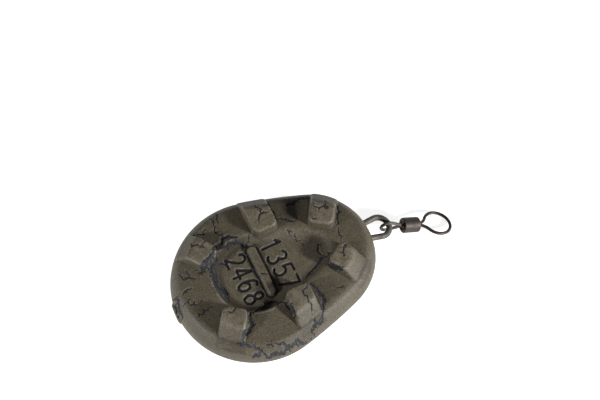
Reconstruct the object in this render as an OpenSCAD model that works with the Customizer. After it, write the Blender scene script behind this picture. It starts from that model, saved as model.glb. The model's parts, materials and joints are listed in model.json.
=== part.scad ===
// Flat pear-shaped gripper sinker: cast lead with six lugs on each face, two
// coats of finish, a wire loop cast into the narrow end and a barrel swivel.
// The sinker lies on its back lugs at z = 0, the swivel points to +X.

/* [Cast body] */
// Length over the coated body, wide tip to narrow tip
body_l = 47.5; // [44:0.5:52]
// Radius of the outline at the wide end, half the width
wide_r = 18.9; // [17.5:0.1:19.9]
// Radius of the outline at the narrow end
narrow_r = 15; // [14:0.1:16]
// Radius of the slightly bulged sides
side_r = 123; // [90:1:200]
// Half the thickness between the two rims
rim_h = 4.5; // [4.1:0.1:4.8]
// Width of the rounded wall, from the outline in to the rim
rim_in = 2.4; // [2:0.1:3]
// Height of the soft ridge round the recess, above the rim
ridge_rise = 0.6; // [0.2:0.1:1]
// Depth of the recess below that ridge
recess_d = 1.1; // [0.8:0.1:1.3]
// Distance of the ridge from the outline
ridge_in = 9.2; // [8.6:0.1:9.6]
// Width of the ridge's rounded crest
crest_w = 0.5; // [0.3:0.1:0.8]
// Width of the recess's sloping wall
recess_wall_w = 0.7; // [0.4:0.1:1]

/* [Lugs] */
// Height of a lug's flat top above the rim
lug_rise = 3; // [2.5:0.1:3.4]
// Width of a lug
lug_w = 5.9; // [5:0.1:6.4]
// Radius of a lug's inner corners
lug_corner_r = 1.6; // [1:0.1:2.2]
// Distance from the outline to the foot of a lug's outer face
lug_foot_in = 1; // [0.8:0.1:1.3]
// Height of that foot above the parting line
lug_foot_h = 3.4; // [3.3:0.1:3.8]
// Distance from the outline to where the flat top begins
lug_break_in = 4.9; // [4.2:0.1:5.5]

/* [Bar and gate] */
// Length of the raised bar in the recess
bar_l = 12.6; // [10:0.2:13.4]
// Width of the bar
bar_w = 2; // [1.6:0.1:2.4]
// Height of the bar above the floor of the recess
bar_rise = 0.9; // [0.6:0.1:1]
// Radius of the trimmed casting gate at the wide tip
gate_r = 1.9; // [1.5:0.1:2.3]
// How far the trimmed gate stands out
gate_out = 0.4; // [0.2:0.1:0.8]

/* [Coats] */
// Thickness of the dark base coat
base_coat_t = 0.2; // [0.15:0.01:0.25]
// Thickness of the crackled top coat
top_coat_t = 0.3; // [0.25:0.01:0.4]

/* [Cast-in loop] */
// Diameter of the loop's wire
loop_wire_d = 1.4; // [1.2:0.1:1.5]
// Radius of the loop, to the middle of its wire
loop_r = 2.45; // [2.3:0.05:2.9]
// Distance of the loop's centre beyond the narrow tip
loop_reach = 2.85; // [2.6:0.05:3.4]
// Droop of the loop out of the parting plane
loop_droop = 14; // [0:1:18]
// Angle at which the two legs run together
leg_lean = 9; // [6:1:12]
// Length of each leg, from the loop to its bent tail
leg_l = 8; // [6:0.5:9]
// Length of each tail, bent outward in the lead
tail_l = 2.5; // [1.5:0.5:4]

/* [Swivel] */
// Diameter of the wire of both eyes
eye_wire_d = 0.75; // [0.7:0.05:0.85]
// Radius of the small eye, to the middle of its wire
small_eye_r = 1.6; // [1.55:0.05:1.8]
// Radius of the large eye, to the middle of its wire
large_eye_r = 3.2; // [2.6:0.1:3.5]
// Distance from the small eye's centre to its stem
small_reach = 4; // [3.6:0.1:4.6]
// Radius of the bends that lead the large eye's legs into its stem
large_bend_r = 3; // [1.2:0.1:3.4]
// Diameter of the barrel
barrel_d = 3.6; // [3.4:0.1:4]
// Length of the barrel
barrel_l = 4.1; // [4:0.1:5.2]
// Diameter of the stems that turn in the barrel
stem_d = 1.2; // [1.1:0.05:1.3]
// Diameter of the heads on those stems
head_d = 2.2; // [2:0.1:2.4]
// Thickness of a head
head_t = 0.5; // [0.4:0.05:0.6]
// Diameter of the barrel's open mouths
mouth_d = 2.6; // [2.3:0.1:2.8]
// Depth of the mouths
mouth_h = 0.6; // [0.4:0.05:0.7]
// Thickness of the ends that hold the heads in
end_t = 0.6; // [0.5:0.05:0.7]
// Wall of the barrel beside the heads
barrel_wall = 0.45; // [0.4:0.05:0.5]
// Rounding of the barrel's edges
barrel_edge = 0.3; // [0.2:0.05:0.35]

/* [Lie of the swivel] */
// Sideways swing of the swivel, seen from above
swivel_yaw = -12; // [-25:1:25]
// Turn of the large eye about the swivel's axis
large_eye_turn = -12; // [-40:1:40]

/* [Hidden] */
$fn = 96;
// Steps round each end and along each side of the outline
end_steps = 40;
side_steps = 10;

// Running clearance between a stem and the barrel, and round the heads
stem_gap = 0.06;
head_gap = 0.12;
// Gap between the loop's wire and the small eye where they hang together
hang_gap = 0.14;
// Hairline between a cast-in or coated surface and what lies on it
seat_gap = 0.02;
// Length of bare stem between an eye's bends and the barrel's end
neck_l = 0.35;
// How far the legs of an eye sink below the surface of its stem
leg_sink = 0.06;
// Steps in the rounded wall, in a lug's corner and in the barrel's edges
wall_steps = 4;
corner_steps = 4;
edge_steps = 4;

// Places of the lugs' inner ends: share of the body's length along X, share
// of half its width along Y, then the direction in which the lug runs out
lug_place_shares = [[0.039, 0.397, 90], [0.278, 0.193, 57], [-0.257, 0.352, 124.5]];
// Place of the bar along the body's length
bar_x_share = -0.062;
// How much of a coat's thickness a sloping surface moves inward
slope_share = 0.4;

// Heights above the parting plane
ridge_h = rim_h + ridge_rise;
floor_h = ridge_h - recess_d;
lug_h = rim_h + lug_rise;
bar_h = floor_h + bar_rise;
crest_in = ridge_in + crest_w;
floor_in = crest_in + recess_wall_w;
// Radius and sweep of the rounded wall's section
wall_r = (rim_h * rim_h + rim_in * rim_in) / (2 * rim_in);
wall_sweep = asin(rim_h / wall_r);

// The outline: the centres of the end arcs lie on the X axis, and each side
// arc touches both end arcs from a centre beyond the other side
wide_x = wide_r - body_l / 2;
narrow_x = body_l / 2 - narrow_r;
ends_gap = narrow_x - wide_x;
wide_reach = side_r - wide_r;
narrow_reach = side_r - narrow_r;
side_dx = (wide_reach * wide_reach - narrow_reach * narrow_reach + ends_gap * ends_gap)
    / (2 * ends_gap);
side_y = -sqrt(wide_reach * wide_reach - side_dx * side_dx);
side_x = wide_x + side_dx;
wide_a = atan2(-side_y, -side_dx);
narrow_a = atan2(-side_y, ends_gap - side_dx);

// The loop and the swivel
loop_wire_r = loop_wire_d / 2;
eye_wire_r = eye_wire_d / 2;
stem_r = stem_d / 2;
barrel_r = barrel_d / 2;
// Distance from the bends of an eye back to the far side of its head
stem_l = neck_l + end_t + head_gap + head_t;
leg_y = stem_r - eye_wire_r - leg_sink;
coats_t = base_coat_t + top_coat_t;
// Distance from the large eye's centre back to where its bends leave the stem
large_reach = sqrt((large_eye_r + large_bend_r) * (large_eye_r + large_bend_r)
    - (leg_y + large_bend_r) * (leg_y + large_bend_r));
// Play of the loop's wire in the small eye, split along and across the swivel
play = small_eye_r - eye_wire_r - loop_wire_r - hang_gap;
play_a = 33;
small_eye_along = -play * sin(play_a);
small_eye_below = -play * cos(play_a);
// Places along the swivel's axis, from the loop's wire outward
small_stem_x = small_eye_along + small_reach;
barrel_x = small_stem_x + neck_l - mouth_h;
large_stem_x = barrel_x + barrel_l + neck_l - mouth_h;
large_eye_x = large_stem_x + large_reach;

// The swivel slopes down from the loop until the large eye touches the ground
function droop(v) = [v[0] * cos(loop_droop) + v[2] * sin(loop_droop), v[1],
    v[2] * cos(loop_droop) - v[0] * sin(loop_droop)];
function axis_dir(p) = droop([cos(p) * cos(swivel_yaw), cos(p) * sin(swivel_yaw), -sin(p)]);
function across_dir() = droop([-sin(swivel_yaw), cos(swivel_yaw), 0]);
function up_dir(p) = cross(axis_dir(p), across_dir());
function side_dir(p) = cos(large_eye_turn) * across_dir() + sin(large_eye_turn) * up_dir(p);
far_point = [loop_reach + loop_r * cos(swivel_yaw), loop_r * sin(swivel_yaw), 0];
loop_far = [body_l / 2, 0, 0] + droop(far_point);
function eye_centre(p) = loop_far + axis_dir(p) * large_eye_x + up_dir(p) * small_eye_below;
function ring_half(p, i) =
    large_eye_r * norm([axis_dir(p)[i], side_dir(p)[i]]) + eye_wire_r;
function eye_low(p) = eye_centre(p)[2] - ring_half(p, 2) + lug_h;
function slope(low, high, n) = let (m = (low + high) / 2)
    n == 0 ? m : eye_low(m) > 0 ? slope(m, high, n - 1) : slope(low, m, n - 1);
swivel_pitch = slope(-loop_droop, 60, 40);

// The part's origin is midway along its length, on the ground
low_x = -body_l / 2 - gate_out;
high_x = eye_centre(swivel_pitch)[0] + ring_half(swivel_pitch, 0);
mid_x = (low_x + high_x) / 2;

// From the cast body's frame, centred on the parting plane, to the part's
module place_cast() translate([-mid_x, 0, lug_h]) children();

// From the loop's frame, its centre at the origin and its legs toward -X
module place_loop() translate([body_l / 2, 0, 0]) rotate([0, loop_droop, 0])
    translate([loop_reach, 0, 0]) children();

// From the swivel's frame, its axis along X from the loop's wire, to the part's
module place_swivel()
    place_cast() place_loop() rotate([0, 0, swivel_yaw]) translate([loop_r, 0, 0])
        rotate([0, swivel_pitch, 0]) translate([0, 0, small_eye_below]) children();

// Upper half of the body's section: distance in from the outline and height,
// with the whole surface drawn in by t
function wall_points(t) = [for (i = [0:wall_steps])
    let (a = i * wall_sweep / wall_steps)
        [wall_r - (wall_r - t) * cos(a), (wall_r - t) * sin(a)]];
function body_points(t) = concat(wall_points(t), [
    [ridge_in, ridge_h - t],
    [crest_in - slope_share * t, ridge_h - t],
    [floor_in - slope_share * t, floor_h - t]]);
// The same for the envelope in which the lugs end
function lug_points(t) = [
    [lug_foot_in + t, 0],
    [lug_foot_in + t, lug_foot_h - slope_share * t],
    [lug_break_in + slope_share * t, lug_h - t]];

// Points along an arc, up to its end but without it
function arc_points(x, y, r, from, to, n) = [for (i = [0:n - 1])
    let (a = from + (to - from) * i / n) [x + r * cos(a), y + r * sin(a)]];

// The outline drawn in by the distance in, from the narrow end round
function outline_points(in) = concat(
    arc_points(narrow_x, 0, narrow_r - in, -narrow_a, narrow_a, end_steps),
    arc_points(side_x, side_y, side_r - in, narrow_a, wide_a, side_steps),
    arc_points(wide_x, 0, wide_r - in, wide_a, 360 - wide_a, end_steps),
    arc_points(side_x, -side_y, side_r - in, 360 - wide_a, 360 - narrow_a, side_steps));

// The section carried round the outline, the same above and below
module round_outline(section) {
    n = len(section);
    rows = concat([for (i = [n - 1:-1:1]) [section[i][0], -section[i][1]]], section);
    around = len(outline_points(0));
    last = len(rows) - 1;
    polyhedron(
        points = [for (row = rows, p = outline_points(row[0])) [p[0], p[1], row[1]]],
        faces = concat(
            [[for (i = [0:around - 1]) i]],
            [for (k = [0:last - 1], i = [0:around - 1]) let (j = (i + 1) % around)
                [k * around + i, (k + 1) * around + i, (k + 1) * around + j, k * around + j]],
            [[for (i = [around - 1:-1:0]) last * around + i]]));
}

function corner(x, y, r, from) = [for (i = [0:corner_steps])
    let (a = from + i * 90 / corner_steps) [x + r * cos(a), y + r * sin(a)]];

// A lug's outline, from its inner end at the origin out along X
module lug_outline(t) {
    w = lug_w / 2 - t;
    r = lug_corner_r - t;
    far = wide_r;
    polygon(concat(corner(t + r, w - r, r, 90), corner(t + r, r - w, r, 180),
        [[far, -w], [far, w]]));
}

// The raised bar's outline, its length along Y
module bar_outline(t) {
    r = bar_w / 2 - t;
    y = bar_l / 2 - bar_w / 2;
    polygon(concat(corner(0, y, r, 0), corner(0, y, r, 90),
        corner(0, -y, r, 180), corner(0, -y, r, 270)));
}

// The whole cast form, its surface drawn in by t
module cast_form(t) {
    round_outline(body_points(t));
    intersection() {
        round_outline(lug_points(t));
        for (place = lug_place_shares, side = [0, 1])
            mirror([0, side, 0]) translate([place[0] * body_l, place[1] * wide_r, 0])
                rotate([0, 0, place[2]])
                    linear_extrude(height = 2 * lug_h, center = true) lug_outline(t);
    }
    translate([bar_x_share * body_l, 0, 0])
        linear_extrude(height = 2 * (bar_h - t), center = true) bar_outline(t);
    translate([low_x + t, 0, 0]) rotate([0, 90, 0])
        cylinder(r = gate_r - t, h = gate_out + rim_in);
}

// Round wire of radius r bent through angle a about the origin, at radius bend
module bent_wire(r, bend, a)
    rotate_extrude(angle = a) translate([bend, 0, 0]) circle(r = r);

// A round loop of wire about the origin, with two straight legs that leave it
// toward -X and run together at the angle lean
module wire_loop(r, bend, lean, legs_l) rotate([0, 0, -90 - lean]) {
    bent_wire(r, bend, 180 + 2 * lean);
    translate([bend, 0, 0]) rotate([90, 0, 0]) cylinder(r = r, h = legs_l);
    rotate([0, 0, 180 + 2 * lean]) translate([bend, 0, 0])
        rotate([-90, 0, 0]) cylinder(r = r, h = legs_l);
}

// The tails near the ends of the loop's legs, bent outward: wire of radius r
// that starts at the distance back before the middle of the leg
module loop_tails(r, back) {
    along = leg_l - loop_wire_r - seat_gap;
    tail_x = -loop_r * sin(leg_lean) - along * cos(leg_lean);
    tail_y = loop_r * cos(leg_lean) - along * sin(leg_lean);
    for (side = [0, 1]) mirror([0, side, 0])
        translate([tail_x, tail_y - back, 0]) rotate([-90, 45, 0])
            cylinder(r = r, h = tail_l + back);
}

// The straight holes that the loop's legs take through the coats and the lead
module leg_holes()
    for (side = [0, 1]) mirror([0, side, 0])
        translate([-loop_r * sin(leg_lean), loop_r * cos(leg_lean), 0])
            rotate([0, -90, leg_lean]) cylinder(r = loop_wire_r + seat_gap, h = leg_l + seat_gap);

// A stem that runs back along X from the origin to its head
module stem() translate([-stem_l, 0, 0]) rotate([0, 90, 0]) {
    cylinder(r = stem_r, h = stem_l + leg_sink);
    cylinder(r = head_d / 2, h = head_t);
}

// The large eye's ring, whose legs bend together at the origin
module omega_ring() {
    open_a = atan2(leg_y + large_bend_r, large_reach);
    translate([large_reach, 0, 0]) {
        rotate([0, 0, open_a - 180]) bent_wire(eye_wire_r, large_eye_r, 360 - 2 * open_a);
        for (side = [0, 1]) mirror([0, side, 0]) rotate([0, 0, 180 - open_a])
            translate([large_eye_r + large_bend_r, 0, 0]) rotate([0, 0, 90 + open_a])
                bent_wire(eye_wire_r, large_bend_r, 90 - open_a);
    }
}

// The barrel's section from one end to the other: distance from the axis and
// place along it
function edge(r, x, from) = [for (i = [0:edge_steps])
    let (a = from + i * 90 / edge_steps)
        [r + barrel_edge * cos(a), x + barrel_edge * sin(a)]];
module barrel_section() {
    hole_r = stem_r + stem_gap;
    chamber_r = barrel_r - barrel_wall;
    polygon(concat(edge(barrel_r - barrel_edge, barrel_edge, -90),
        edge(barrel_r - barrel_edge, barrel_l - barrel_edge, 0), [
            [mouth_d / 2, barrel_l], [hole_r, barrel_l - mouth_h],
            [hole_r, barrel_l - mouth_h - end_t],
            [chamber_r, barrel_l - mouth_h - end_t], [chamber_r, mouth_h + end_t],
            [hole_r, mouth_h + end_t], [hole_r, mouth_h], [mouth_d / 2, 0]]));
}

module lead_core() color("#6e7074") place_cast() difference() {
    cast_form(coats_t);
    place_loop() {
        leg_holes();
        loop_tails(loop_wire_r + 2 * seat_gap, loop_wire_r + 2 * seat_gap);
    }
}

module base_coat() color("#2b2d31") place_cast() difference() {
    cast_form(top_coat_t + seat_gap);
    cast_form(coats_t - seat_gap);
    place_loop() leg_holes();
}

module top_coat() color("#6f6c5b") place_cast() difference() {
    cast_form(0);
    cast_form(top_coat_t);
    place_loop() leg_holes();
}

module cast_in_loop() color("#77756a") place_cast() place_loop() {
    wire_loop(loop_wire_r, loop_r, leg_lean, leg_l);
    loop_tails(loop_wire_r - seat_gap, 0);
}

module small_eye() color("#77756a") place_swivel() {
    rotate([90, 0, 0]) translate([small_eye_along, 0, 0]) rotate([0, 0, 180])
        wire_loop(eye_wire_r, small_eye_r, asin(small_eye_r / small_reach),
            sqrt(small_reach * small_reach - small_eye_r * small_eye_r));
    translate([small_stem_x, 0, 0]) rotate([0, 0, 180]) stem();
}

module barrel() color("#4c4744") place_swivel()
    translate([barrel_x, 0, 0]) rotate([0, 90, 0]) rotate_extrude() barrel_section();

module large_eye() color("#3f3a37") place_swivel()
    translate([large_stem_x, 0, 0]) rotate([large_eye_turn, 0, 0]) {
        omega_ring();
        stem();
    }

lead_core();
base_coat();
top_coat();
cast_in_loop();
small_eye();
barrel();
large_eye();
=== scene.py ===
import json
import math

import bpy
import numpy as np
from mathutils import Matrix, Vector


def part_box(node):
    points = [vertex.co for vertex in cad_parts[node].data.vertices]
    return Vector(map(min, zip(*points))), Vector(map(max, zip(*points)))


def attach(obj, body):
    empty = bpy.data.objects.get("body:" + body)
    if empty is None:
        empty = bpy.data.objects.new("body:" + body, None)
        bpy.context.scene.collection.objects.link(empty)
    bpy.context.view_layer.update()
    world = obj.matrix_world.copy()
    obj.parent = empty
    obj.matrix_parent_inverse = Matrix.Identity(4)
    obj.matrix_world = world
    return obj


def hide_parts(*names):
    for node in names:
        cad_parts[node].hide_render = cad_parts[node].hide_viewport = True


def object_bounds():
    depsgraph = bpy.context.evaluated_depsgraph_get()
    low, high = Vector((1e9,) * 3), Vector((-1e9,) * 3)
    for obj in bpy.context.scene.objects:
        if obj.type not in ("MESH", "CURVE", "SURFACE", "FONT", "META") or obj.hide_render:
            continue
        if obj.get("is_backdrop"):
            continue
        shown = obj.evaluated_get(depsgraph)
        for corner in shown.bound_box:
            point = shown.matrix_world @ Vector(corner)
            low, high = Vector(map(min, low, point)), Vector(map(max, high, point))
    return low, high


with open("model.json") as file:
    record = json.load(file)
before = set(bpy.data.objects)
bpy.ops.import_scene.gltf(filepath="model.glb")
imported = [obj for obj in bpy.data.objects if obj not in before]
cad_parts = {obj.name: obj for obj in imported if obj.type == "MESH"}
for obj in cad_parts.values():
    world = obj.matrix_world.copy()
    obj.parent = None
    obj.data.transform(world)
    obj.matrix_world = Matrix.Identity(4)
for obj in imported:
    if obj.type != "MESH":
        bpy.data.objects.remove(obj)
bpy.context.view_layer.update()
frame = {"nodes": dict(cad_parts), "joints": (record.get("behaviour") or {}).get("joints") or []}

mm = 0.001
print("frame loaded:", ", ".join(sorted(frame["nodes"])))


# Camera

camera = {
    "target": (4.62, 16.71, 0), "azimuth": 25.589, "elevation": 65.564,
    "distance": 323.2, "lens": 81.95, "sensor": 36, "clipFrom": 20,
}


def makeCamera(c):
    data = bpy.data.cameras.new("camera")
    data.lens, data.sensor_width, data.clip_start = c["lens"], c["sensor"], c["clipFrom"] * mm
    obj = bpy.data.objects.new("camera", data)
    bpy.context.scene.collection.objects.link(obj)
    a, e = math.radians(c["azimuth"]), math.radians(c["elevation"])
    back = Vector((-math.sin(a) * math.cos(e), -math.cos(a) * math.cos(e), math.sin(e)))
    obj.location = Vector(c["target"]) * mm + back * c["distance"] * mm
    obj.rotation_euler = (-back).to_track_quat("-Z", "Y").to_euler()
    bpy.context.scene.camera = obj


makeCamera(camera)
print("camera placed")


# Shader sums: a socket that takes part in Python expressions

class Sum:
    def __init__(self, graph, socket):
        self.graph, self.socket = graph, socket

    def math(self, operation, *values):
        setting = {"operation": operation}
        return self.graph.node("ShaderNodeMath", setting, dict(enumerate(values)))[0]

    def __add__(self, other):
        return self.math("ADD", self, other)

    def __radd__(self, other):
        return self.math("ADD", other, self)

    def __sub__(self, other):
        return self.math("SUBTRACT", self, other)

    def __rsub__(self, other):
        return self.math("SUBTRACT", other, self)

    def __mul__(self, other):
        return self.math("MULTIPLY", self, other)

    def __rmul__(self, other):
        return self.math("MULTIPLY", other, self)

    def __truediv__(self, other):
        return self.math("DIVIDE", self, other)

    def __rtruediv__(self, other):
        return self.math("DIVIDE", other, self)

    def __neg__(self):
        return self.math("MULTIPLY", self, -1)

    def __abs__(self):
        return self.math("ABSOLUTE", self)

    def most(self, other):
        return self.math("MAXIMUM", self, other)

    def centred(self):  # a noise, about 0
        return self - 0.5

    def rise(self, low, high):  # 0 below low, 1 above high, smooth between
        values = {"Value": self, "From Min": low, "From Max": high}
        kind = {"interpolation_type": "SMOOTHSTEP"}
        return self.graph.node("ShaderNodeMapRange", kind, values)[0]

    def band(self, start, full, fall, end):  # 1 from full to fall, 0 outside start and end
        return self.rise(start, full) * (1 - self.rise(fall, end))


class Graph:
    def __init__(self, owner):  # a material, or the world
        self.owner = owner
        owner.use_nodes = True
        self.tree = owner.node_tree
        self.tree.nodes.clear()

    def node(self, kind, settings=None, values=None):
        made = self.tree.nodes.new(kind)
        for key, value in (settings or {}).items():
            setattr(made, key, value)
        for key, value in (values or {}).items():
            if isinstance(value, Sum):
                self.tree.links.new(value.socket, made.inputs[key])
            else:
                made.inputs[key].default_value = value
        return [Sum(self, s) for s in made.outputs]

    def place(self):  # object coordinates
        return self.node("ShaderNodeTexCoord")[3]

    def data(self, name):
        return self.node("ShaderNodeAttribute", {"attribute_name": name})[2]

    def noise(self, scale, detail, rough):
        values = {"Vector": self.place(), "Scale": scale, "Detail": detail, "Roughness": rough}
        return self.node("ShaderNodeTexNoise", None, values)[0]

    def noises(self, settings):
        return {name: self.noise(*each) for name, each in settings.items()}

    def cells(self, scale, feature="F1", at=None):
        values = {"Vector": at or self.place(), "Scale": scale}
        return self.node("ShaderNodeTexVoronoi", {"feature": feature}, values)[0]

    def mix(self, amount, first, second):
        pair = [v if isinstance(v, Sum) else (*v, 1) for v in (first, second)]
        kind = {"data_type": "RGBA", "clamp_factor": True}
        return self.node("ShaderNodeMix", kind, {0: amount, 6: pair[0], 7: pair[1]})[2]

    def bump(self, height):
        values = {"Height": height, "Distance": mm, "Strength": 1}
        return self.node("ShaderNodeBump", None, values)[0]

    def finish(self, **sockets):
        values = {key.replace("_", " "): value for key, value in sockets.items()}
        made = self.node("ShaderNodeBsdfPrincipled", None, values)
        self.node("ShaderNodeOutputMaterial", None, {"Surface": made[0]})
        return self.owner


def newGraph(name):
    return Graph(bpy.data.materials.new(name))


# The cast body: one skin over both coats, from the same sizes as the solids

body = {
    "length": 47.5, "wideR": 18.9, "narrowR": 15, "sideR": 123,
    "rimH": 4.5, "rimIn": 2.4, "ridgeRise": 0.6, "recessD": 1.1,
    "ridgeIn": 9.2, "crestW": 0.5, "recessWallW": 1.5,
    "flash": 0.06, "flashW": 0.2,
    "crispRim": 0.12, "softRim": 0.7, "rimTurns": (-4, 12),  # crisp to soft along x
    "crispFace": 0.16, "softFace": 0.75, "faceTurns": (-6, 9), "wideEnd": (-3, 6),
    "step": 0.19, "margin": (0.9, 0.6, 0.5),  # the skin's mesh, and the room round it
}
lugs = {
    "rise": 3, "width": 5.9, "cornerR": 1.6, "footIn": 1, "footH": 3.4, "breakIn": 4.7,
    "draft": 6, "topRound": 0.6, "breakRound": 0.8, "footRound": 0.3, "fillet": 0.2,
    "skew": 0.6, "skewOver": 3,  # the outer slopes sit further in on one side
    "far": 20,  # longer than any lug
    "places": [(1.85, 7.4, 90), (13.1, 3.45, 57), (-11.95, 6.25, 124.5)],  # inner end, direction
}
bar = {
    "x": -2.945, "length": 12.6, "width": 2, "rise": 0.9, "lean": 0.15,
    "round": 0.4, "fillet": 0.1, "ditch": 0.2, "ditchOut": 0.3, "ditchW": 0.25,
}
gate = {
    "r": 1.6, "out": 0.4, "y": 0.5, "z": -0.2, "stretch": 1.5, "lean": 0.05,
    "round": 0.3, "reach": 3, "fillet": 0.4,
}


def smoothMax(a, b, k):
    h = np.maximum(k - np.abs(a - b), 0) / k
    return np.maximum(a, b) + h * h * k / 4


def smoothMin(a, b, k):
    return -smoothMax(-a, -b, k)


def smoothStep(v, low, high):
    t = np.clip((v - low) / (high - low), 0, 1)
    return t * t * (3 - 2 * t)


def hump(v, middle, width):
    return np.exp(-(((v - middle) / width) ** 2))


def outlineDepth(x, y):  # distance in from the outline
    b = body
    wideX, narrowX = b["wideR"] - b["length"] / 2, b["length"] / 2 - b["narrowR"]
    gap, w, n = narrowX - wideX, b["sideR"] - b["wideR"], b["sideR"] - b["narrowR"]
    dx = (w * w - n * n + gap * gap) / (2 * gap)
    sideY, sideX = -math.sqrt(w * w - dx * dx), wideX + dx
    y = np.abs(y)
    turn = np.arctan2(y - sideY, x - sideX)
    wideTurn, narrowTurn = math.atan2(-sideY, -dx), math.atan2(-sideY, gap - dx)
    wide = b["wideR"] - np.hypot(x - wideX, y)
    narrow = b["narrowR"] - np.hypot(x - narrowX, y)
    side = b["sideR"] - np.hypot(x - sideX, y - sideY)
    return np.where(turn > wideTurn, wide, np.where(turn < narrowTurn, narrow, side))


def softProfile(blur):  # height of the flat faces over the distance in, with soft corners
    b = body
    fineStep, outMost, inMost, blurs = 0.02, -4, 24, 3
    crest = b["ridgeIn"] + b["crestW"]
    at = [0, b["rimIn"], b["ridgeIn"], crest, crest + b["recessWallW"], b["length"]]
    ridge = b["rimH"] + b["ridgeRise"]
    low = ridge - b["recessD"]
    fine = np.arange(outMost, inMost, fineStep)
    height = np.interp(fine, at, [b["rimH"], b["rimH"], ridge, ridge, low, low])
    reach = np.arange(-blurs * blur, blurs * blur + fineStep / 2, fineStep)
    kernel = np.exp(-0.5 * (reach / blur) ** 2)
    padded = np.pad(height, len(kernel) // 2, mode="edge")
    return fine, np.convolve(padded, kernel / kernel.sum(), mode="valid")[:len(fine)]


crispEdge, softEdge = softProfile(body["crispFace"]), softProfile(body["softFace"])


def faceHeight(x, depth):
    share = smoothStep(x, *body["faceTurns"])
    return np.interp(depth, *crispEdge) * (1 - share) + np.interp(depth, *softEdge) * share


def roundedBox(u, v, halfU, halfV, r):
    qu, qv = np.abs(u) - halfU + r, np.abs(v) - halfV + r
    return np.hypot(np.maximum(qu, 0), np.maximum(qv, 0)) + np.minimum(np.maximum(qu, qv), 0) - r


def lugField(x, y, z, depth):
    g = lugs
    top = body["rimH"] + g["rise"]
    lean = math.tan(math.radians(g["draft"]))
    middle = (body["rimH"] + top) / 2
    h = np.abs(z)
    run, climb = g["breakIn"] - g["footIn"], top - g["footH"]
    tilt = np.where(z < 0, -y, y)
    skewed = depth + g["skew"] * np.tanh(tilt / g["skewOver"])
    slope = ((h - g["footH"]) * run - (skewed - g["footIn"]) * climb) / math.hypot(run, climb)
    cap = smoothMax(slope, h - top, g["breakRound"])
    side = np.full_like(x, g["far"])
    for px, py, direction in g["places"]:
        a = math.radians(direction)
        u = (x - px) * math.cos(a) + (np.abs(y) - py) * math.sin(a)
        v = -(x - px) * math.sin(a) + (np.abs(y) - py) * math.cos(a)
        half = g["far"] / 2
        side = np.minimum(side, roundedBox(u - half, v, half, g["width"] / 2, g["cornerR"]))
    side = (side + (h - middle) * lean) / math.hypot(1, lean)
    return smoothMax(smoothMax(side, cap, g["topRound"]), g["footIn"] - depth, g["footRound"])


def barGap(x, y):  # distance from the bar, seen from above
    return roundedBox(x - bar["x"], y, bar["width"] / 2, bar["length"] / 2, bar["width"] / 2)


def gateField(x, y, z):  # the cut stub where the lead was poured, at the wide end
    g = gate
    end = x + body["length"] / 2
    disc = np.hypot((y - g["y"]) / g["stretch"], z - g["z"]) - g["r"]
    cut = smoothMax(disc, np.abs(y) * g["lean"] - end - g["out"], g["round"])
    return np.maximum(cut, end - g["reach"])


# Plain numerals beside the bar: strokes in a cell one wide and one high
numerals = {
    "height": 4.5, "width": 2.2, "pitch": 3.25, "stroke": 0.3, "depth": 0.24, "round": 0.1,
    "sight": 1.5,  # how far from a stroke its distance is worked out
    "above": 3,  # height above the parting line from which they are inked
    "rows": [("2468", -9.35), ("1357", -0.75)],  # digits, and where their feet stand along x
    "strokes": {
        "1": [(0.2, 0.78), (0.55, 1), (0.55, 0)],
        "2": [(0.05, 0.78), (0.2, 0.95), (0.5, 1), (0.8, 0.94), (0.95, 0.75), (0.85, 0.53),
              (0.5, 0.27), (0.05, 0), (1, 0)],
        "3": [(0.08, 0.9), (0.3, 0.99), (0.6, 1), (0.88, 0.88), (0.88, 0.67), (0.62, 0.55),
              (0.92, 0.42), (0.97, 0.2), (0.75, 0.03), (0.4, 0), (0.08, 0.1)],
        "4": [(0.72, 0), (0.72, 1), (0.02, 0.3), (1, 0.3)],
        "5": [(0.92, 1), (0.2, 1), (0.12, 0.56), (0.45, 0.64), (0.8, 0.56), (0.97, 0.32),
              (0.8, 0.07), (0.45, 0), (0.08, 0.1)],
        "6": [(0.85, 0.92), (0.55, 1), (0.25, 0.88), (0.06, 0.55), (0.06, 0.28), (0.25, 0.05),
              (0.55, 0), (0.85, 0.1), (0.96, 0.32), (0.82, 0.54), (0.5, 0.6), (0.2, 0.5),
              (0.07, 0.35)],
        "7": [(0.02, 1), (0.98, 1), (0.4, 0)],
        "8": [(0.5, 0.53), (0.22, 0.62), (0.14, 0.8), (0.3, 0.97), (0.5, 1), (0.7, 0.97),
              (0.86, 0.8), (0.78, 0.62), (0.5, 0.53), (0.15, 0.42), (0.03, 0.24), (0.2, 0.05),
              (0.5, 0), (0.8, 0.05), (0.97, 0.24), (0.85, 0.42), (0.5, 0.53)],
    },
}

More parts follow.
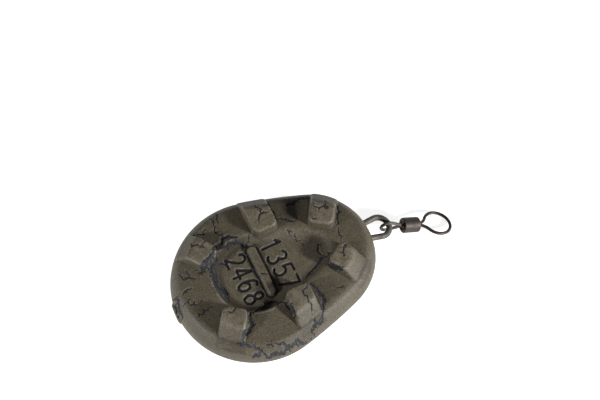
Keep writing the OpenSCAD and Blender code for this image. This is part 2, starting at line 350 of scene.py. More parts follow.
# Cracks in the top coat: for each half width, lines as they lie seen from above
cracks = {
    "depth": 0.14, "banks": (-0.12, 0.06),  # from the floor of a crack to its brim
    "seam": (0.1, 1.1), "seamGap": 0.9,  # heights over which they thin out, and by how much
    "sight": 1.2,  # how far from a crack its distance is worked out
    "seed": 7, "step": 0.18, "wander": 0.14, "taper": 0.7, "uneven": (0.65, 1.1),
    "branches": 0.16, "branchEvery": 4, "branchTurn": (0.6, 1.4), "branchReach": (0.48, 1.2),
    "branchHalf": 0.1, "branchShare": 0.12,
    "lines": {
        0.65: [
            [(-12.5, 6.5), (-13, 3.5), (-13.5, 1), (-12.5, -3.5)],
        ],
        0.45: [
            [(5.5, -7.5), (6, -10.5), (5.5, -14)],
            [(-9.5, -8), (-10.5, -11), (-13.5, -13.5)],
            [(-11, 8.5), (-8.5, 9.5), (-4.5, 9.5)],
            [(-10.5, 8.5), (-12.5, 6.5), (-15.5, 5)],
        ],
        0.33: [
            [(-15, -13), (-13.5, -14), (-10.5, -16.5)],
            [(-10.5, -16.5), (-11.5, -17), (-13, -16.5)],
            [(-10.5, -17), (-8, -18), (-5, -18.5)],
            [(-7.5, -16.5), (-6, -17), (-4, -18), (-3, -17.5), (1.5, -17.5)],
            [(-12, 7.5), (-9.5, 5)],
            [(-10, 8.5), (-7, 9), (-5, 8.5), (-4, 7), (-2.5, 6.5)],
            [(8.5, 12), (11, 12), (14.5, 11)],
            [(13, -3), (11, -3), (10, -3.5), (8, -4.5), (5, -6)],
        ],
        0.26: [
            [(5, 14.5), (5, 11), (4.5, 9)],
            [(1, -17.5), (3, -16), (5.5, -14)],
            [(-9.5, -8), (-6.5, -8.5), (-3, -8), (-1, -9.5)],
            [(-1.5, -9.5), (-1, -13.5)],
            [(-13, 6), (-15.5, 5)],
            [(-23.5, 3.5), (-23, 0), (-23, -2)],
        ],
        0.2: [
            [(-9.5, -16), (-8, -17)],
            [(-4, -18), (-3, -18.5)],
            [(3, -16.5), (4.5, -15.5)],
            [(-8.5, 16.5), (-8, 14), (-8, 11.5)],
            [(-6.5, 17), (-7, 14.5)],
            [(-20, 7.5), (-19.5, 5.5), (-18, 5.5), (-16.5, 4)],
            [(5, 9.5), (6, 9.5), (8.5, 7.5), (9.5, 7.5)],
            [(19, 7.5), (18, 5), (17.5, 2.5)],
            [(17, 2), (16.5, -0.5)],
            [(11, 0.5), (11, -2.5)],
            [(2, 14.5), (2.5, 12.5), (1.5, 11), (1, 9.5)],
            [(16.5, 6), (14.5, 7), (14, 6.5)],
            [(16.5, -3.5), (14.5, -5), (14.5, -6)],
            [(4.5, -8), (2.5, -9.5), (3, -11), (2.5, -14)],
            [(-15, 12), (-13.5, 10), (-12.5, 9)],
        ],
        0.16: [
            [(-10, 14.5), (-11.5, 13)],
            [(-11, 13.5), (-12.5, 14.5)],
            [(-18, 5.5), (-18, 7.5)],
            [(-18.5, 3), (-20, 3), (-21.5, 2)],
            [(-17.5, -1), (-19.5, -1), (-20.5, 0.5), (-22, 0)],
            [(-20.5, -4), (-16.5, -3)],
            [(-2.5, 6.5), (-1.5, 6.5)],
            [(-2, 9), (-2.5, 7.5)],
            [(6.5, 6.5), (6.5, 5)],
            [(7.5, 5), (7, 3)],
            [(8, 2.5), (8, 1)],
            [(11, -5), (12, -7), (13, -8.5)],
            [(10, -10.5), (12, -11.5)],
            [(-3.5, -0.5), (-2.5, -1.5)],
            [(-23.5, 2), (-24, -1)],
            [(2, 11.5), (4, 11.5)],
            [(16.5, 8.5), (16, 7), (16.5, 6)],
            [(14.5, 7), (13.5, 8)],
            [(12, 5.5), (13, 5)],
            [(14.5, -5), (14, -4.5)],
            [(-12, -6), (-13.5, -7), (-14.5, -6.5)],
            [(-12, 10.5), (-11.5, 11)],
        ],
    },
}


def numeralSegments():
    n, made = numerals, []
    for word, x0 in n["rows"]:
        y0 = (len(word) - 1) * n["pitch"] / 2 + n["width"] / 2
        for i, digit in enumerate(word):
            points = [(x0 + v * n["height"], y0 - i * n["pitch"] - u * n["width"])
                      for u, v in n["strokes"][digit]]
            made += [(*p, *q, 0.0, 0.0) for p, q in zip(points, points[1:])]
    return np.array(made)


def crackSegments():
    c = cracks
    rng = np.random.default_rng(c["seed"])
    made = []

    def between(p, q):  # halve the way and push its middle aside, until the steps are short
        along = q - p
        if np.hypot(*along) < c["step"]:
            return [q]
        aside = np.array((-along[1], along[0]))
        middle = (p + q) / 2 + aside * rng.normal(0, c["wander"])
        return between(p, middle) + between(middle, q)

    def crooked(line, width):
        ends = [np.array(p, float) for p in line]
        points = [ends[0]]
        for p, q in zip(ends, ends[1:]):
            points += between(p, q)
        share = np.linspace(-1, 1, len(points))
        uneven = rng.uniform(*c["uneven"], len(points))
        half = width * (1 - c["taper"] * share ** 4) * uneven
        for i in range(len(points) - 1):
            made.append((*points[i], *points[i + 1], half[i], half[i + 1]))
        return points

    def branch(before, root, after, width):
        way = after - before
        turn = math.atan2(way[1], way[0]) + rng.choice((-1, 1)) * rng.uniform(*c["branchTurn"])
        reach = rng.uniform(*c["branchReach"])
        end = root + reach * np.array((math.cos(turn), math.sin(turn)))
        crooked([root, end], c["branchHalf"] + c["branchShare"] * width)

    for width, lines in c["lines"].items():
        for line in lines:
            fine = crooked(line, width)
            for i in range(2, len(fine) - 2, c["branchEvery"]):
                if rng.random() < c["branches"]:
                    branch(fine[i - 1], fine[i], fine[i + 1], width)
    return np.array(made)


def nearest(x, y, segments, reach):  # distance to the nearest line, less its half width
    found, slope = np.full(x.shape, reach), np.zeros((2, *x.shape))
    side, half = np.full(x.shape, reach), np.zeros(x.shape)
    noLength, noGap = 1e-9, 1e-6  # so that nothing is divided by 0
    for ax, ay, bx, by, ha, hb in segments:
        near = np.nonzero((x > min(ax, bx) - reach) & (x < max(ax, bx) + reach)
                          & (y > min(ay, by) - reach) & (y < max(ay, by) + reach))[0]
        px, py, dx, dy = x[near] - ax, y[near] - ay, bx - ax, by - ay
        t = np.clip((px * dx + py * dy) / (dx * dx + dy * dy + noLength), 0, 1)
        qx, qy = px - t * dx, py - t * dy
        away = np.hypot(qx, qy) + noGap
        wide = ha + (hb - ha) * t
        gap = away - wide
        closer = gap < found[near]
        near = near[closer]
        found[near] = gap[closer]
        slope[:, near] = qx[closer] / away[closer], qy[closer] / away[closer]
        side[near] = (away * np.where(dx * py - dy * px < 0, -1, 1))[closer]
        half[near] = wide[closer]
    return found, slope, side, half


def castField(x, y, z, depth, top, ink, crack):  # below 0 inside the part
    b = body
    wallR = (b["rimH"] ** 2 + b["rimIn"] ** 2) / (2 * b["rimIn"])
    h = np.abs(z)
    wall = np.hypot(np.maximum(wallR - depth, 0), h) - wallR - b["flash"] * hump(z, 0, b["flashW"])
    soft = smoothStep(x, *b["rimTurns"])
    found = smoothMax(wall, h - top, b["crispRim"] * (1 - soft) + b["softRim"] * soft)
    found = smoothMin(found, lugField(x, y, z, depth), lugs["fillet"])
    away = barGap(x, y)
    floor = b["rimH"] + b["ridgeRise"] - b["recessD"]
    found += bar["ditch"] * hump(away, bar["ditchOut"], bar["ditchW"])
    rail = smoothMax(away + (h - floor) * bar["lean"], h - floor - bar["rise"], bar["round"])
    found = smoothMin(found, rail, bar["fillet"])
    found = smoothMin(found, gateField(x, y, z), gate["fillet"])
    carve = np.maximum(ink - numerals["stroke"], top - numerals["depth"] - h)
    found = smoothMax(found, -carve, numerals["round"])
    return found + cracks["depth"] * (1 - smoothStep(crack, *cracks["banks"]))


def planFields(x, y):
    depth = outlineDepth(x, y)
    return depth, faceHeight(x, depth)


numeralLines, crackLines = numeralSegments(), crackSegments()


def seamFade(z):  # cracks thin out towards the parting line
    return cracks["seamGap"] * (1 - smoothStep(np.abs(z), *cracks["seam"]))


def linesAt(x, y, z):  # the hidden face is the shown one turned over
    turn = np.where(z < 0, -1, 1)
    ink, inkSlope, _, _ = nearest(x, y * turn, numeralLines, numerals["sight"])
    crack, crackSlope, side, half = nearest(x, y * turn, crackLines, cracks["sight"])
    inkSlope[1] *= turn
    crackSlope[1] *= turn
    fade = seamFade(z)
    return ink, crack + fade, inkSlope, crackSlope, side, half - fade


def fieldAt(p):
    depth, top = planFields(p[:, 0], p[:, 1])
    return lambda ink, crack: castField(p[:, 0], p[:, 1], p[:, 2], depth, top, ink, crack)


def fieldGrid():
    b, step = body, body["step"]
    half = (b["length"] / 2, b["wideR"], b["rimH"] + lugs["rise"])
    counts = [math.ceil((r + room) / step) for r, room in zip(half, b["margin"])]
    axes = [(np.arange(-n, n + 1) + 0.5) * step for n in counts]
    gx, gy = np.meshgrid(axes[0], axes[1], indexing="ij")
    depth, top = planFields(gx, gy)
    flatX, flatY = gx.ravel(), gy.ravel()
    inkUp = nearest(flatX, flatY, numeralLines, numerals["sight"])[0].reshape(gx.shape)
    crackUp = nearest(flatX, flatY, crackLines, cracks["sight"])[0].reshape(gx.shape)
    field = np.empty([len(axis) for axis in axes], np.float32)
    for k, z in enumerate(axes[2]):
        ink, crack = (inkUp, crackUp) if z > 0 else (inkUp[:, ::-1], crackUp[:, ::-1])
        level = np.full_like(gx, z)
        field[:, :, k] = castField(gx, gy, level, depth, top, ink, crack + seamFade(z))
    print("skin field", field.shape)
    return np.array([axis[0] for axis in axes]), field


def crossedCells(inside):  # the cells that the surface crosses
    lows = [slice(None, -1), slice(1, None)]
    corners = [(i, j, k) for i in (0, 1) for j in (0, 1) for k in (0, 1)]
    count = sum(inside[lows[i], lows[j], lows[k]].astype(np.int8) for i, j, k in corners)
    return np.argwhere((count > 0) & (count < len(corners))), corners


def cellPoints(field, cells, corners):  # midway between the cell's crossings
    total, weight = np.zeros((len(cells), 3)), np.zeros(len(cells))
    edges = [(a, axis) for a in corners for axis in range(3) if not a[axis]]
    for a, axis in edges:
        b = tuple(1 if n == axis else a[n] for n in range(3))
        fa, fb = field[tuple((cells + a).T)], field[tuple((cells + b).T)]
        cross = (fa < 0) != (fb < 0)
        t = np.where(cross, fa / np.where(cross, fa - fb, 1), 0)
        spot = cells + np.array(a, float)
        spot[:, axis] += t
        total += spot * cross[:, None]
        weight += cross
    return total / weight[:, None]


def cellFaces(inside, cells):  # one face for each grid edge that the surface crosses
    index = np.full([n - 1 for n in inside.shape], -1, np.int64)
    index[tuple(cells.T)] = np.arange(len(cells))
    faces = []
    for axis in range(3):
        u, v = (axis + 1) % 3, (axis + 2) % 3
        a = [slice(1, -1)] * 3
        a[axis] = slice(None, -1)
        b = list(a)
        b[axis] = slice(1, None)
        one, two = inside[tuple(a)], inside[tuple(b)]
        at = np.argwhere(one != two)
        rings = []
        for du, dv in ((0, 0), (1, 0), (1, 1), (0, 1)):
            cell = at.copy()
            cell[:, u] += du
            cell[:, v] += dv
            rings.append(index[tuple(cell.T)])
        ring = np.stack(rings, 1)
        outward = one[tuple(at.T)]
        faces.append(np.where(outward[:, None], ring, ring[:, ::-1]))
    return np.concatenate(faces)


def drawOn(points):  # draw the vertices on to the surface
    turns, small, longest, flattest = 3, 0.02, 0.08, 0.2  # flattest: least slope squared
    for turn in range(turns):
        ink, crack, inkSlope, crackSlope, _, _ = linesAt(*points.T)
        here = fieldAt(points)(ink, crack)
        slope = np.empty_like(points)
        for axis in range(3):
            nudge = np.zeros(3)
            nudge[axis] = small
            inkStep = inkSlope[axis] * small if axis < 2 else 0
            crackStep = crackSlope[axis] * small if axis < 2 else 0
            ahead = fieldAt(points + nudge)(ink + inkStep, crack + crackStep)
            behind = fieldAt(points - nudge)(ink - inkStep, crack - crackStep)
            slope[:, axis] = (ahead - behind) / (2 * small)
        size = np.maximum((slope ** 2).sum(1), flattest)
        push = -(here / size)[:, None] * slope
        points += np.clip(push, -longest, longest)


def skinMesh():
    low, field = fieldGrid()
    inside = field < 0
    cells, corners = crossedCells(inside)
    points = low + cellPoints(field, cells, corners) * body["step"]
    drawOn(points)
    return points, cellFaces(inside, cells)


def bendOf(points, faces):  # how convex the surface is at each vertex
    edges = np.concatenate([faces[:, [i, (i + 1) % 4]] for i in range(4)])
    edges = np.concatenate([edges, edges[:, ::-1]])
    count = np.bincount(edges[:, 0], minlength=len(points))

    def around(values):  # mean of each vertex's neighbours
        total = np.zeros_like(values)
        np.add.at(total, edges[:, 0], values[edges[:, 1]])
        return (total.T / count).T

    d1, d2 = points[faces[:, 2]] - points[faces[:, 0]], points[faces[:, 3]] - points[faces[:, 1]]
    normals = np.zeros_like(points)
    for i in range(4):
        np.add.at(normals, faces[:, i], np.cross(d1, d2))
    normals /= np.linalg.norm(normals, axis=1)[:, None]
    bend = ((points - around(points)) * normals).sum(1) / body["step"]
    blurs = 6
    for turn in range(blurs):
        bend = (bend + around(bend)) / 2
    return bend


def skinData(points, faces):  # what the finish reads at each vertex
    x, y, z = points.T
    depth, top = planFields(x, y)
    ink, _, _, _, side, half = linesAt(x, y, z)
    return {
        "crackSide": side, "crackHalf": half, "crackAway": np.abs(side),
        "bend": bendOf(points, faces), "lugGap": lugField(x, y, z, depth),
        "railGap": barGap(x, y), "well": depth - body["ridgeIn"] - body["crestW"],
        "wideEnd": smoothStep(-x, *body["wideEnd"]), "lift": np.abs(z) - top,
        "inkGap": np.where(np.abs(z) > numerals["above"], ink, numerals["sight"]),
    }


def makeSkin():
    points, faces = skinMesh()
    low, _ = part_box("top_coat")
    shift = np.array((low.x / mm + body["length"] / 2 + gate["out"], 0,
                      body["rimH"] + lugs["rise"]))
    mesh = bpy.data.meshes.new("crackle_coat")
    mesh.vertices.add(len(points))
    mesh.vertices.foreach_set("co", ((points + shift) * mm).ravel())
    mesh.loops.add(faces.size)
    mesh.loops.foreach_set("vertex_index", faces.ravel())
    mesh.polygons.add(len(faces))
    mesh.polygons.foreach_set("loop_start", np.arange(0, faces.size, 4))
    mesh.polygons.foreach_set("use_smooth", np.ones(len(faces), bool))
    mesh.update()
    mesh.validate()
    for name, value in skinData(points, faces).items():
        layer = mesh.attributes.new(name, "FLOAT", "POINT")
        layer.data.foreach_set("value", value.astype(np.float32))
    obj = bpy.data.objects.new("crackle_coat", mesh)
    bpy.context.scene.collection.objects.link(obj)
    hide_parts("top_coat", "base_coat")
    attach(obj, "sinker")
    print("skin", len(points), "vertices,", len(faces), "faces")
    return obj


skin = makeSkin()


# Finishes

crackle = {
    "olive": (0.08, 0.066, 0.041), "pale": (0.196, 0.169, 0.121), "deep": (0.032, 0.025, 0.015),
    "slate": (0.03, 0.03, 0.037), "flake": (0.085, 0.084, 0.096), "ink": (0.005, 0.004, 0.004),
    # the chip colour: pale chipped coat, also used for painted highlights
    "rust": (0.3, 0.12, 0.05), "chipAndHighlight": (0.26, 0.245, 0.215), "roughness": 0.6,
    "paler": 1.18, "thin": 0.4,  # the olive's paler patches, and thin cracks against wide ones
    "hairCells": 520, "hairWarp": {"Scale": 700, "Detail": 3}, "hairBend": 0.0022,
    "fleckCells": 420, "spotCells": 900,
    "fray": {  # how far noise moves each edge, in mm, or in half widths of the crack
        "crack": 0.06, "crackFine": 0.06, "crackHalf": 0.7, "core": 1.6, "inkEdgeGlint": 0.2,
        "foot": 1.5, "skirtShade": 0.5, "ink": 0.34, "inkFine": 0.12, "groove": 0.4,
    },
    "coreSoft": 0.05,  # keeps the core out of the thinnest cracks
    "spans": {  # where each mask begins and is full; four values for one that ends again
        "beside": (0.16, 0.24), "crack": (-0.05, 0.03), "edge": (0, 0.03, 0.05, 0.16),
        "core": (0.1, 0.55), "wideCrack": (0.1, 0.28), "hairReach": (0.5, 1.6),
        "web": (0.008, 0.03), "lugTop": (0, 0.3), "lugLift": (1.7, 2.5), "inWell": (1.5, 3),
        "corner": (0.02, 0.14), "hollow": (0.015, 0.12), "inkEdgeGlint": (0.3, 0.36, 0.42, 0.56),
        "footIn": (-0.1, 0.4), "footOut": (0.8, 3), "skirtShade": (-0.02, 0.1, 0.2, 0.5),
        "skirtShadeLift": (0.5, 0.9), "crest": (-0.6, -0.35, -0.2, 0), "ink": (0.27, 0.35),
        "grooveIn": (-0.02, 0.08), "grooveOut": (0.42, 0.6), "fleck": (0.02, 0.05),
        "spot": (0.06, 0.11),
    },
    "breaks": {  # the same for the noises that break the masks up
        "edge": (0.45, 0.6), "hairs": (0.5, 0.6), "hairBreaks": (0.4, 0.5),
        "flake": (0.5, 0.62), "black": (0.36, 0.44), "dust": (0.42, 0.62),
        "topGrain": (0.4, 0.65), "patch": (0.35, 0.7), "specks": (0.5, 0.66),
        "pits": (0.34, 0.5), "grain": (0.32, 0.48), "wearAndHighlight": (0.4, 0.62),
        "inkEdgeGlint": (0.48, 0.6), "skirtShade": (0.36, 0.5), "crest": (0.38, 0.55),
        "groove": (0.36, 0.44), "flecks": (0.62, 0.66), "spots": (0.56, 0.62),
    },
    "amounts": {  # how strongly each mask colours the coat
        "onTop": 0.15, "topDustAndLight": 0.45, "topGrain": 0.35, "inWell": 0.05, "wellDust": 0.2,
        "specks": 0.6, "pits": 0.65, "grain": 0.5, "wearAndHighlight": 0.6, "creaseShade": 0.75, "edge": 0.3,
        "inkEdgeGlint": 0.5, "foot": 0.8, "skirtShade": 0.75, "crest": 0.5, "hair": 0.85, "crack": 0.97,
        "groove": 0.92, "core": 0.85, "spot": 0.7,
    },
    "rougher": {"wearAndHighlight": -0.15, "crack": 0.15, "foot": 0.35, "grain": 0.25},
    "heights": {  # in mm
        "swell": 0.05, "grain": 0.035, "speckle": 0.012, "crack": -0.1, "hair": -0.03,
        "ink": -0.05,
    },
    "noises": {  # scale, detail and roughness of each
        "fray": (1300, 4, 0.7), "fine": (4200, 2, 0.5), "hairs": (240, 2, 0.5),
        "hairBreaks": (900, 2, 0.55), "groove": (380, 3, 0.6), "wearAndHighlight": (800, 4, 0.65),
        "crest": (600, 3, 0.6), "patch": (170, 4, 0.6), "speckle": (5200, 2, 0.6),
        "grain": (2300, 3, 0.65), "dust": (620, 4, 0.65), "edge": (700, 2, 0.55),
        "inkEdgeGlint": (800, 2, 0.55), "skirtShade": (500, 3, 0.6), "flake": (2600, 3, 0.6),
        "flecks": (260, 1, 0.55), "spots": (300, 2, 0.55), "swell": (420, 4, 0.6),
    },
}


def crackMasks(g, c, n):  # the cracks, their pale edges and their dark cores
    s, f = c["spans"], c["fray"]
    fray, fine, half = n["fray"].centred(), n["fine"].centred(), g.data("crackHalf")
    line = abs(g.data("crackSide"))
    gap = line - half + fray * (half * f["crackHalf"] + f["crack"]) + fine * f["crackFine"]
    near = 1 - (g.data("crackAway") - half).rise(*s["beside"])
    crack = (1 - gap.rise(*s["crack"])) * near
    edge = gap.band(*s["edge"]) * near * n["edge"].rise(*c["breaks"]["edge"])
    core = 1 - (line / (half + c["coreSoft"]) + fray * f["core"]).rise(*s["core"])
    return crack, edge, core


def hairMask(g, c, n):  # a warped web of hairlines, in patches beside the drawn cracks
    s, b = c["spans"], c["breaks"]
    warp = g.node("ShaderNodeTexNoise", None, {"Vector": g.place(), **c["hairWarp"]})[1]
    bent = g.node("ShaderNodeVectorMath", {"operation": "MULTIPLY_ADD"},
                  {0: warp, 1: (c["hairBend"],) * 3, 2: g.place()})[0]
    web = 1 - g.cells(c["hairCells"], "DISTANCE_TO_EDGE", bent).rise(*s["web"])
    near = 1 - g.data("crackAway").rise(*s["hairReach"])
    return web * near * n["hairs"].rise(*b["hairs"]) * n["hairBreaks"].rise(*b["hairBreaks"])


def crackColour(g, c, n, core):  # what shows in the cracks: slate, flaking, black in the middle
    b, wide = c["breaks"], g.data("crackHalf").rise(*c["spans"]["wideCrack"])
    dark = g.mix(n["flake"].rise(*b["flake"]), c["slate"], c["flake"])
    black = core.most(1 - n["flake"].rise(*b["black"])) * c["amounts"]["core"]
    return g.mix(wide, [v * c["thin"] for v in c["slate"]], g.mix(black, dark, c["ink"]))


def oliveColour(g, c, n):  # the top coat away from edges, lugs and cracks
    a, b, s = c["amounts"], c["breaks"], c["spans"]
    dust, grain, speckle = n["dust"].rise(*b["dust"]), n["grain"], n["speckle"]
    # lug tops paler: partly dust, partly painted light, as the tops catch more light than the
    # flats between the lugs
    lugTop = (1 - g.data("lugGap").rise(*s["lugTop"])) * g.data("lift").rise(*s["lugLift"])
    onTop = dust * a["topDustAndLight"] + grain.rise(*b["topGrain"]) * a["topGrain"] + a["onTop"]
    inWell = g.data("well").rise(*s["inWell"]) * (dust * a["wellDust"] + a["inWell"])
    paler = [v * c["paler"] for v in c["olive"]]
    colour = g.mix(n["patch"].rise(*b["patch"]), c["olive"], paler)
    colour = g.mix(lugTop * onTop, colour, c["pale"])
    colour = g.mix(inWell, colour, c["pale"])
    colour = g.mix(speckle.rise(*b["specks"]) * a["specks"], colour, c["pale"])
    colour = g.mix((1 - speckle.rise(*b["pits"])) * a["pits"], colour, c["deep"])
    colour = g.mix((1 - grain.rise(*b["grain"])) * a["grain"], colour, c["deep"])
    return colour, lugTop


def crackleFinish(c):
    g = newGraph("crackle_coat")
    n, a, r, h = g.noises(c["noises"]), c["amounts"], c["rougher"], c["heights"]
    s, b, f = c["spans"], c["breaks"], c["fray"]
    fray, fine = n["fray"].centred(), n["fine"].centred()
    crack, edge, core = crackMasks(g, c, n)
    hair = hairMask(g, c, n)
    inkGap, rail, well, wideEnd = map(g.data, ("inkGap", "railGap", "well", "wideEnd"))
    bend, lift, lugGap = map(g.data, ("bend", "lift", "lugGap"))
    colour, lugTop = oliveColour(g, c, n)

    # edges worn pale and lit with painted highlights; corners and feet kept dark with painted
    # shade
    # convex edges paler: partly worn coat, partly painted highlight
    wearAndHighlight = bend.rise(*s["corner"]) * n["wearAndHighlight"].rise(*b["wearAndHighlight"])
    # painted shade: concave creases darkened
    creaseShade = (-bend).rise(*s["hollow"])
    # painted glint: a pale rim round the numerals
    inkEdgeGlint = (inkGap + fray * f["inkEdgeGlint"]).band(*s["inkEdgeGlint"]) * n["inkEdgeGlint"].rise(*b["inkEdgeGlint"])
    # painted shade on the recess wall and its foot, at the wide end
    foot = well.rise(*s["footIn"]) * (1 - (well + fray * f["foot"]).rise(*s["footOut"])) * wideEnd
    # painted shade in a band round the foot of each lug
    skirtShade = (lugGap + fray * f["skirtShade"]).band(*s["skirtShade"]) * n["skirtShade"].rise(*b["skirtShade"])
    skirtShade = skirtShade * (1 - lift.rise(*s["skirtShadeLift"]))
    # a pale line along the recess crest at the wide end: partly wear, partly painted highlight
    crest = well.band(*s["crest"]) * wideEnd * n["crest"].rise(*b["crest"])
    colour = g.mix(wearAndHighlight * a["wearAndHighlight"], colour, c["chipAndHighlight"])
    colour = g.mix(creaseShade * a["creaseShade"], colour, c["deep"])
    colour = g.mix(edge * a["edge"], colour, c["chipAndHighlight"])
    colour = g.mix(inkEdgeGlint * a["inkEdgeGlint"], colour, c["chipAndHighlight"])
    colour = g.mix(foot * a["foot"], colour, c["deep"])
    colour = g.mix(skirtShade * a["skirtShade"], colour, c["deep"])
    colour = g.mix(crest * (1 - lugTop) * a["crest"], colour, c["chipAndHighlight"])

    # cracks, numerals and the groove round the bar, darkened partly with painted shade
    ink = 1 - (inkGap + fray * f["ink"] + fine * f["inkFine"]).rise(*s["ink"])
    # the ditch round the bar darkened near black: partly painted shade at the bar's foot
    groove = rail.rise(*s["grooveIn"]) * (1 - (rail + fray * f["groove"]).rise(*s["grooveOut"]))
    groove = groove * n["groove"].rise(*b["groove"])
    colour = g.mix(hair * a["hair"], colour, c["ink"])
    colour = g.mix(crack * a["crack"], colour, crackColour(g, c, n, core))
    colour = g.mix(ink.most(groove * a["groove"]), colour, c["ink"])

    # flecks of rust and chips
    fleck = (1 - g.cells(c["fleckCells"]).rise(*s["fleck"])) * n["flecks"].rise(*b["flecks"])
    spot = (1 - g.cells(c["spotCells"]).rise(*s["spot"])) * n["spots"].rise(*b["spots"])
    colour = g.mix(fleck, colour, c["rust"])
    colour = g.mix(spot * a["spot"], colour, c["chipAndHighlight"])

    rough = wearAndHighlight * r["wearAndHighlight"] + crack * r["crack"] + foot * r["foot"]
    rough = rough + n["grain"].centred() * r["grain"] + c["roughness"]
    height = n["swell"] * h["swell"] + n["grain"] * h["grain"] + n["speckle"] * h["speckle"]
    height = height + crack * h["crack"] + hair * h["hair"] + ink * h["ink"]
    return g.finish(Base_Color=colour, Roughness=rough, Normal=g.bump(height))


metal = {  # what the finishes of the loop and the swivel share
    "noises": {"blotch": (700, 4, 0.6), "fine": (5200, 3, 0.6), "rubbed": (1100, 3, 0.6)},
    "spans": {"blotch": (0.36, 0.68), "fine": (0.54, 0.7), "rubbed": (0.4, 0.62)},
    "rougher": 0.3, "smoother": 0.1, "fineBump": 0.3,
}
wires = {
    "loop": {
        "base": (0.13, 0.119, 0.1), "worn": (0.29, 0.27, 0.235), "dark": (0.04, 0.036, 0.031),
        "metallic": 0.2, "roughness": 0.6, "blotch": 0.85, "grain": 0.65, "bump": 0.02,
    },
    "small": {
        "base": (0.13, 0.117, 0.1), "worn": (0.27, 0.245, 0.21), "dark": (0.04, 0.035, 0.03),
        "metallic": 0.3, "roughness": 0.55, "blotch": 0.6, "grain": 0.5, "bump": 0.012,
    },
    "eye": {
        "base": (0.06, 0.046, 0.04), "worn": (0.36, 0.22, 0.15), "dark": (0.03, 0.024, 0.022),
        "metallic": 0.5, "roughness": 0.45, "blotch": 0.35, "grain": 0.2, "bump": 0.003,
    },
    "barrel": {
        "base": (0.068, 0.056, 0.05), "worn": (0.3, 0.24, 0.205), "dark": (0.026, 0.022, 0.02),
        "metallic": 0.4, "roughness": 0.55, "blotch": 0.6, "grain": 0.35, "bump": 0.008,
        # the near black on each end face is painted shade for the open mouth
        "mouthShade": (0.005, 0.004, 0.005), "rim": (0.19, 0.09, 0.045),
        "rimBand": (0.05, 0.15, 0.22, 0.34), "mouthShadeEnd": (0.06, 0.12), "rimAmount": 0.8,
    },
}


def barrelEnds(g, c, colour, axis, ends):  # painted shade: a dark mouth at each end, inside a thin brown rim
    along = g.node("ShaderNodeVectorMath", {"operation": "DOT_PRODUCT"},
                   {0: g.place(), 1: tuple(axis)})[1]
    inward = ((ends[1] - ends[0]) / 2 - abs(along - (ends[0] + ends[1]) / 2)) / mm
    colour = g.mix(inward.band(*c["rimBand"]) * c["rimAmount"], colour, c["rim"])
    return g.mix(1 - inward.rise(*c["mouthShadeEnd"]), colour, c["mouthShade"])


def metalFinish(name, c, axis=None, ends=None):
    g, m, s = newGraph(name), metal, metal["spans"]
    blotch, fine, rubbed = g.noises(m["noises"]).values()
    colour = g.mix(blotch.rise(*s["blotch"]) * c["blotch"], c["base"], c["dark"])
    worn = fine.rise(*s["fine"]) * rubbed.rise(*s["rubbed"])
    colour = g.mix(worn * c["grain"], colour, c["worn"])
    if ends:
        colour = barrelEnds(g, c, colour, axis, ends)
    rough = c["roughness"] + blotch.centred() * m["rougher"] - worn * m["smoother"]
    normal = g.bump((blotch + fine * m["fineBump"]) * c["bump"])
    return g.finish(Base_Color=colour, Roughness=rough, Metallic=c["metallic"], Normal=normal)


def endsAlong(obj, axis):  # where a piece begins and ends along an axis
    along = [v.co.dot(Vector(axis)) for v in obj.data.vertices]
    return min(along), max(along)


# Pieces under the skin
plain = {
    "pieces": {  # material, colour, metallic and roughness
        "lead_core": ("cast_lead", (0.2, 0.205, 0.215), 0.8, 0.5),
        "top_coat": ("olive_coat", crackle["olive"], 0, 0.6),
        "base_coat": ("slate_coat", crackle["slate"], 0, 0.6),
    },
    "cloud": (300, 4, 0.6), "clouded": (0.3, 0.7), "darker": 0.7, "cloudBump": 0.05,
    "grain": (2500, 3, 0.55), "grainBump": 0.02,
}


def plainFinish(name, colour, metallic, roughness):
    g, p = newGraph(name), plain
    cloud, grain = g.noise(*p["cloud"]), g.noise(*p["grain"])
    tone = g.mix(cloud.rise(*p["clouded"]), colour, [v * p["darker"] for v in colour])
    normal = g.bump(cloud * p["cloudBump"] + grain * p["grainBump"])
    return g.finish(Base_Color=tone, Roughness=roughness, Metallic=metallic, Normal=normal)


def dress(obj, material):
    obj.data.materials.clear()
    obj.data.materials.append(material)


nodes = frame["nodes"]
turnAxis = next(j["axis"] for j in frame["joints"] if j["name"] == "barrel_turn")
barrelSpan = endsAlong(nodes["barrel"], turnAxis)
dress(skin, crackleFinish(crackle))
for name, settings in plain["pieces"].items():
    dress(nodes[name], plainFinish(*settings))
dress(nodes["cast_in_loop"], metalFinish("loop_wire", wires["loop"]))
dress(nodes["small_eye"], metalFinish("small_eye_wire", wires["small"]))
dress(nodes["barrel"], metalFinish("barrel_metal", wires["barrel"], turnAxis, barrelSpan))
dress(nodes["large_eye"], metalFinish("large_eye_wire", wires["eye"]))
print("finishes on")


# Floor and light

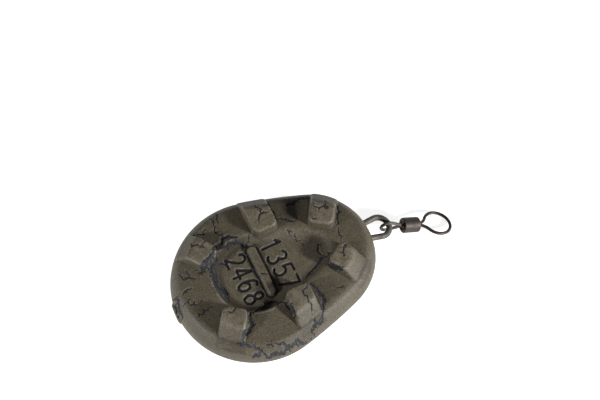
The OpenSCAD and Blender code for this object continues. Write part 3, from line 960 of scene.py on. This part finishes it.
studio = {
    "floor": 1.2, "floorTone": 0.75, "glow": 0.85, "world": 0.05,
    "lamps": [  # name, direction azimuth, elevation, distance, size, power
        ("left", 181.4, 24, 0.45, 0.055, 1.4),
        ("right", -50.6, 24, 0.45, 0.055, 2.65),
        ("back", 55, 48, 0.6, 0.3, 0.12),
    ],
}
white = (1, 1, 1, 1)


def makeFloor(s):
    r = s["floor"]
    mesh = bpy.data.meshes.new("floor")
    mesh.from_pydata([(-r, -r, 0), (r, -r, 0), (r, r, 0), (-r, r, 0)], [], [(0, 1, 2, 3)])
    obj = bpy.data.objects.new("floor", mesh)
    bpy.context.scene.collection.objects.link(obj)
    g = newGraph("floor")
    path = g.node("ShaderNodeLightPath")  # outputs: 0 camera, 3 glossy, 6 transmission
    seen = path[0].most(path[3]).most(path[6])
    lit = g.node("ShaderNodeBsdfDiffuse", None, {"Color": (*[s["floorTone"]] * 3, 1)})[0]
    glow = g.node("ShaderNodeEmission", None, {"Color": white, "Strength": seen * s["glow"]})[0]
    both = g.node("ShaderNodeAddShader", None, {0: lit, 1: glow})[0]
    g.node("ShaderNodeOutputMaterial", None, {"Surface": both})
    dress(obj, g.owner)
    obj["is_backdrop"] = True


def makeLamp(centre, name, azimuth, elevation, distance, size, power):
    data = bpy.data.lights.new(name, "AREA")
    data.shape, data.size, data.energy = "DISK", size, power
    obj = bpy.data.objects.new(name, data)
    bpy.context.scene.collection.objects.link(obj)
    a, e = math.radians(azimuth), math.radians(elevation)
    way = Vector((math.cos(a) * math.cos(e), math.sin(a) * math.cos(e), math.sin(e)))
    obj.location = centre + way * distance
    obj.rotation_euler = way.to_track_quat("Z", "Y").to_euler()


def makeWorld(s):  # white behind the floor's far edge
    world = bpy.data.worlds.new("world")
    bpy.context.scene.world = world
    g = Graph(world)
    strength = g.node("ShaderNodeLightPath")[0].most(s["world"])
    sky = g.node("ShaderNodeBackground", None, {"Color": white, "Strength": strength})[0]
    g.node("ShaderNodeOutputWorld", None, {"Surface": sky})


makeFloor(studio)
low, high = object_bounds()
for lamp in studio["lamps"]:
    makeLamp((low + high) / 2, *lamp)
makeWorld(studio)
bpy.context.scene.view_settings.view_transform = "Standard"
print("floor and light set")
